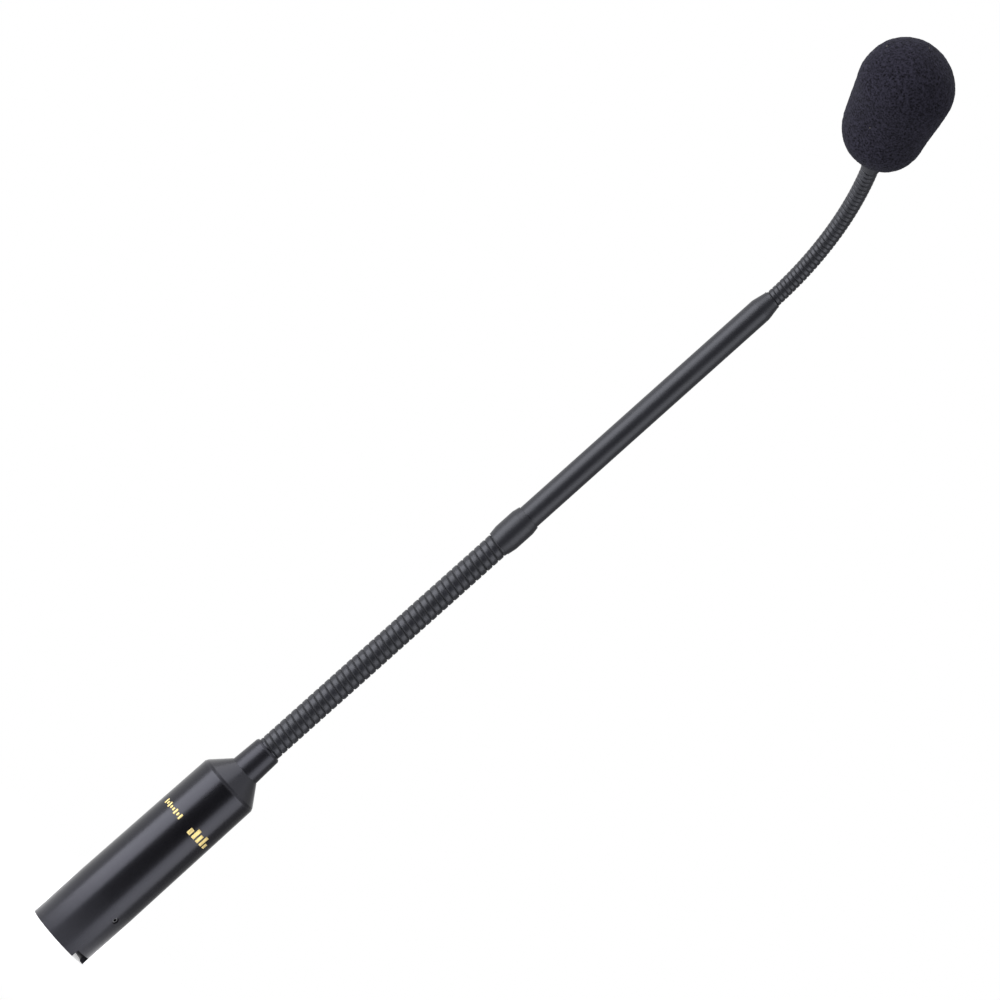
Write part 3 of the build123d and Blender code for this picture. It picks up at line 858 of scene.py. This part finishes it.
def evenly_spaced(points, spacing):
    """Points along a line of straight stretches, about this far apart, with both of its ends."""
    lengths = [0.0]
    for (r0, h0), (r1, h1) in zip(points, points[1:]):
        lengths.append(lengths[-1] + math.hypot(r1 - r0, h1 - h0))
    count = round(lengths[-1] / spacing)
    even = []
    n = 0
    for step in range(count + 1):
        wanted = lengths[-1] * step / count
        while n < len(points) - 2 and lengths[n + 1] < wanted:
            n += 1
        t = (wanted - lengths[n]) / (lengths[n + 1] - lengths[n])
        even.append(tuple(Vector(points[n]).lerp(Vector(points[n + 1]), t)))
    return even


def bell(distance, reach):
    """1 at no distance, falling smoothly to almost nothing at twice the reach."""
    return math.exp(-((distance / reach) ** 2))


def foam_relief(place, chosen):
    """How far the foam stands out here: its slow swell, then its large and small cells."""
    slow = noise.noise(place * 110)
    cells = noise.noise(place * 900) * 0.6 + noise.noise(place * 1900) * 0.4
    sunk = 0.35
    return slow * chosen.swell + (cells - sunk) * chosen.grain


class MIC_OT_windscreen(bpy.types.Operator):
    """Makes the foam windscreen with its open cells"""

    bl_idname = "mic.windscreen"
    bl_label = "Windscreen"

    spacing = 0.32 * MM
    columns = 250
    mouth_rows = 6
    mouth_relief = 0.3
    bore_edge = 0.4 * MM

    def execute(self, context):
        chosen = context.scene.microphone.windscreen
        outer = egg_profile(chosen, self.spacing)
        bm = bmesh.new()
        rings = turn(bm, outer, HEAD_FOOT, HEAD_AXIS, self.columns, closed=False)
        inner = self.bore_profile(chosen, outer[0][1])
        bore = turn(bm, inner, HEAD_FOOT, HEAD_AXIS, self.columns, closed=False)
        join_rings(bm, bore[-1], rings[0])
        bmesh.ops.recalc_face_normals(bm, faces=bm.faces)
        bm.normal_update()
        stage = context.scene.microphone.stage
        sideways = Vector((-math.cos(stage.azimuth), -math.sin(stage.azimuth), 0))
        sideways = (sideways - HEAD_AXIS * sideways.dot(HEAD_AXIS)).normalized()
        for row, ring in enumerate(rings):
            near_mouth = min(1.0, row / self.mouth_rows)
            relief_share = self.mouth_relief + (1 - self.mouth_relief) * near_mouth
            for vert in ring:
                place = vert.co.copy()
                height = (place - HEAD_FOOT).dot(HEAD_AXIS)
                hang = chosen.lean * bell(height - chosen.lower_middle, chosen.lean_reach) * near_mouth
                hang -= chosen.upper_lean * bell(height - chosen.upper_middle, chosen.upper_lean_reach)
                vert.co = place + vert.normal * foam_relief(place, chosen) * relief_share + sideways * hang
        piece = new_piece(
            "foam_windscreen", bm, "windscreen_foam", "windscreen", ["windscreen"]
        )
        return {"FINISHED"}

    def bore_profile(self, chosen, mouth):
        """The bore from the middle of its closed end down to the mouth, as (radius, height) pairs."""
        end = chosen.bore_end
        part_way = 0.6
        return [
            (0.0, end),
            (chosen.bore * part_way, end),
            (chosen.bore - self.bore_edge, end),
            (chosen.bore, end - self.bore_edge),
            (chosen.bore, end * part_way),
            (chosen.bore, mouth + 3 * self.bore_edge),
            (chosen.bore, mouth + self.bore_edge),
        ]


# ---------------------------------------------------------------- printed marks


# Heights of the small ticks and of the level bars, as shares of the tallest.
TICK_HEIGHTS = (1.0, 0.55, 1.0, 0.55, 0.55, 1.0, 0.55, 1.0)
BAR_HEIGHTS = (0.62, 1.0, 0.8, 1.0, 0.5)


def printed_bar(bm, profile, middle, width, low, high, thickness):
    """A thin raised bar that follows the barrel: azimuths in radians, heights in metres."""
    column_width = math.radians(1.5)
    columns = max(2, round(width / column_width))
    rows = 4
    grids = []
    for lift in (-thickness, thickness):
        grid = []
        for row in range(rows + 1):
            height = low + (high - low) * row / rows
            radius = radius_at(profile, height) + lift
            line = []
            for column in range(columns + 1):
                around = middle + width * (column / columns - 0.5)
                line.append(bm.verts.new((radius * math.sin(around), -radius * math.cos(around), height)))
            grid.append(line)
        grids.append(grid)
        for row in range(rows):
            for column in range(columns):
                sheet_face(bm, grid[row], grid[row + 1], column)
    under, over = grids
    for row in range(rows):
        for column in (0, columns):
            bm.faces.new(
                (under[row][column], under[row + 1][column], over[row + 1][column], over[row][column])
            )
    for column in range(columns):
        for row in (0, rows):
            sheet_face(bm, under[row], over[row], column)


class MIC_OT_marks(bpy.types.Operator):
    """Prints a row of small scale ticks and a group of level bars round the barrel"""

    bl_idname = "mic.marks"
    bl_label = "Printed marks"

    def execute(self, context):
        chosen = context.scene.microphone.marks
        profile = outline("base_barrel")
        bm = bmesh.new()
        width = chosen.scale_step * chosen.scale_fill
        for n, share in enumerate(TICK_HEIGHTS):
            middle = chosen.scale_start + n * chosen.scale_step
            half = chosen.scale_height * share / 2
            low, high = chosen.height - half, chosen.height + half
            printed_bar(bm, profile, middle, width, low, high, chosen.thickness)
        new_piece("scale_marks", bm, "print", "base")
        bm = bmesh.new()
        width = chosen.bars_step * chosen.bars_fill
        low = chosen.height - chosen.bars_height / 2
        for n, share in enumerate(BAR_HEIGHTS):
            middle = chosen.bars_start + (n + 0.5) * chosen.bars_step
            printed_bar(bm, profile, middle, width, low, low + chosen.bars_height * share, chosen.thickness)
        new_piece("level_marks", bm, "print", "base")
        return {"FINISHED"}


# ---------------------------------------------------------------- carried-over CAD nodes


# CAD nodes whose finish isn't the one of their slot.
OWN_FINISHES = {"base_barrel": "barrel", "neck_ferrule": "ferrule"}


class MIC_OT_finishes(bpy.types.Operator):
    """Gives every CAD part that stays in view its finish"""

    bl_idname = "mic.finishes"
    bl_label = "Finishes"

    def execute(self, context):
        for name, node in frame["nodes"].items():
            for place in node.material_slots:
                place.material = finishes()[OWN_FINISHES.get(name, place.material.name)]
        return {"FINISHED"}


# ---------------------------------------------------------------- stage

# For each softbox: how high it stands in degrees, then its distance, width and height in metres.
SOFTBOXES = {
    "key": (-7, 1.1, 1.05, 1.7),
    "fill": (2, 1.1, 0.95, 0.9),
    "top": (62, 1.0, 0.9, 0.8),
}


def away_from(azimuth, elevation):
    """The direction at this azimuth, counted from the front, and this elevation."""
    level = math.cos(elevation)
    return Vector((math.sin(azimuth) * level, -math.cos(azimuth) * level, math.sin(elevation)))


def softbox(name, middle, azimuth, lift, distance, width, height, glow):
    """A rectangular area light that faces the microphone's middle."""
    data = bpy.data.lights.new(name, "AREA")
    data.shape = "RECTANGLE"
    data.size = width
    data.size_y = height
    data.energy = glow * math.pi * width * height
    light = bpy.data.objects.new(name, data)
    away = away_from(azimuth, lift)
    turned = away.to_track_quat("Z", "Y").to_matrix().to_4x4()
    light.matrix_world = Matrix.Translation(middle + away * distance) @ turned
    bpy.context.scene.collection.objects.link(light)


class MIC_OT_stage(bpy.types.Operator):
    """Sets up the camera, the softboxes, the pale room and the floor"""

    bl_idname = "mic.stage"
    bl_label = "Stage"

    def execute(self, context):
        chosen = context.scene.microphone.stage
        scene = context.scene
        scene.view_settings.view_transform = "Standard"
        self.camera(chosen, scene)
        middle = UPWARD * chosen.target
        for name, (lift, distance, width, height) in SOFTBOXES.items():
            azimuth = chosen.azimuth + getattr(chosen, f"{name}_azimuth")
            glow = getattr(chosen, f"{name}_glow")
            softbox(f"{name}_softbox", middle, azimuth, math.radians(lift), distance, width, height, glow)
        self.room(chosen, scene)
        self.floor(chosen)
        return {"FINISHED"}

    def camera(self, chosen, scene):
        """A distant camera with a long lens, turned about its line of sight and aimed beside the rim."""
        away = away_from(chosen.azimuth, chosen.elevation)
        level = Vector((math.cos(chosen.azimuth), math.sin(chosen.azimuth), 0))
        upright = away.cross(level)
        across = level * math.cos(chosen.roll) + upright * math.sin(chosen.roll)
        up = upright * math.cos(chosen.roll) - level * math.sin(chosen.roll)
        data = bpy.data.cameras.new("camera")
        data.lens = chosen.lens
        data.sensor_width = 36
        data.clip_start = 0.05
        data.clip_end = 30
        camera = bpy.data.objects.new("camera", data)
        turned = Matrix((across, up, away)).transposed().to_4x4()
        place = across * chosen.across + up * chosen.up + away * chosen.distance
        camera.matrix_world = Matrix.Translation(place) @ turned
        scene.collection.objects.link(camera)
        scene.camera = camera

    def room(self, chosen, scene):
        """White to the camera; for light and reflections a pale room that is dark behind the camera."""
        world = bpy.data.worlds.new("room")
        world.use_nodes = True
        tree = world.node_tree
        tree.nodes.clear()
        room = Room(tree)
        direction = room.node("ShaderNodeTexCoord").outputs["Generated"]
        shaded = chosen.azimuth + chosen.shaded_azimuth
        glow = room.towards(direction, chosen.azimuth, (0.45, chosen.surround), (0.9, chosen.front))
        glow = glow * room.towards(direction, shaded, (0.5, 1), (0.9, chosen.shaded))
        lit = room.node("ShaderNodeBackground", None, {"Color": glow, "Strength": 1.0}).outputs[0]
        seen = room.node("ShaderNodeBackground", None, {"Color": (1, 1, 1), "Strength": 1.0}).outputs[0]
        camera_ray = room.node("ShaderNodeLightPath").outputs["Is Camera Ray"]
        mixed = room.node("ShaderNodeMixShader", None, {0: camera_ray, 1: lit, 2: seen}).outputs[0]
        room.node("ShaderNodeOutputWorld", None, {"Surface": mixed})
        scene.world = world

    def floor(self, chosen):
        """A pale disc just under the rim that fades out at its edge."""
        bm = bmesh.new()
        rings = 12
        profile = [(chosen.floor_radius * (n / rings), 0.0) for n in range(rings + 1)]
        turn(bm, profile, UPWARD * -chosen.floor_gap, UPWARD, 96, closed=False)
        mesh = bpy.data.meshes.new("floor")
        bm.to_mesh(mesh)
        bm.free()
        disc = bpy.data.objects.new("floor", mesh)
        bpy.context.scene.collection.objects.link(disc)
        constants = {"Emission_Color": (1, 1, 1), "Emission_Strength": chosen.floor_lift}
        finish = Finish("floor_pale", Specular_IOR_Level=0.2, **constants)
        length = finish.node("ShaderNodeVectorMath", {"operation": "LENGTH"}, {0: finish.place})
        away = Value(finish, length.outputs["Value"]) / chosen.floor_radius
        mottle = finish.noise(300, 3)
        finish.feed(finish.shader.inputs["Alpha"], finish.ramp(away, (0.2, 1), (0.95, 0)))
        finish.bump(mottle, 0.05 * MM, 0.3)
        mesh.materials.append(
            finish.paint(finish.blend(mottle, lighter(chosen.floor, 0.98), chosen.floor), 0.75 + mottle * 0.1)
        )


class Room(Finish):
    """The node helper of a material, working in a world's tree."""

    def __init__(self, tree):
        self.tree = tree

    def towards(self, direction, azimuth, *stops):
        """A number that changes as the direction nears an azimuth."""
        facing = away_from(azimuth, 0)
        along = self.node("ShaderNodeVectorMath", {"operation": "DOT_PRODUCT"}, {0: direction, 1: facing})
        return self.ramp(Value(self, along.outputs["Value"]), *stops)


# ---------------------------------------------------------------- panel and registration

BUILD_ORDER = (
    MIC_OT_stage,
    MIC_OT_finishes,
    MIC_OT_lower_neck,
    MIC_OT_upper_neck,
    MIC_OT_turned_parts,
    MIC_OT_windscreen,
    MIC_OT_marks,
)


class MIC_PT_build(bpy.types.Panel):
    """Builds the microphone's pieces in order"""

    bl_idname = "MIC_PT_build"
    bl_label = "Gooseneck microphone"
    bl_space_type = "VIEW_3D"
    bl_region_type = "UI"
    bl_category = "Microphone"

    def draw(self, context):
        for operator in BUILD_ORDER:
            self.layout.operator(operator.bl_idname)
        chosen = context.scene.microphone
        for group in ("winding", "turned", "windscreen", "marks", "finish", "stage"):
            settings = getattr(chosen, group)
            column = self.layout.column(align=True)
            column.label(text=chosen.bl_rna.properties[group].name)
            for name in settings.__annotations__:
                column.prop(settings, name)


CLASSES = (
    MicWindingSettings,
    MicTurnedSettings,
    MicWindscreenSettings,
    MicMarkSettings,
    MicFinishSettings,
    MicStageSettings,
    MicSettings,
    *BUILD_ORDER,
    MIC_PT_build,
)


def register():
    for each in CLASSES:
        bpy.utils.register_class(each)
    bpy.types.Scene.microphone = bpy.props.PointerProperty(type=MicSettings, name="Microphone")


def unregister():
    del bpy.types.Scene.microphone
    for each in reversed(CLASSES):
        bpy.utils.unregister_class(each)


def main():
    register()
    for operator in BUILD_ORDER:
        group, name = operator.bl_idname.split(".")
        getattr(getattr(bpy.ops, group), name)()


if __name__ == "__main__":
    main()
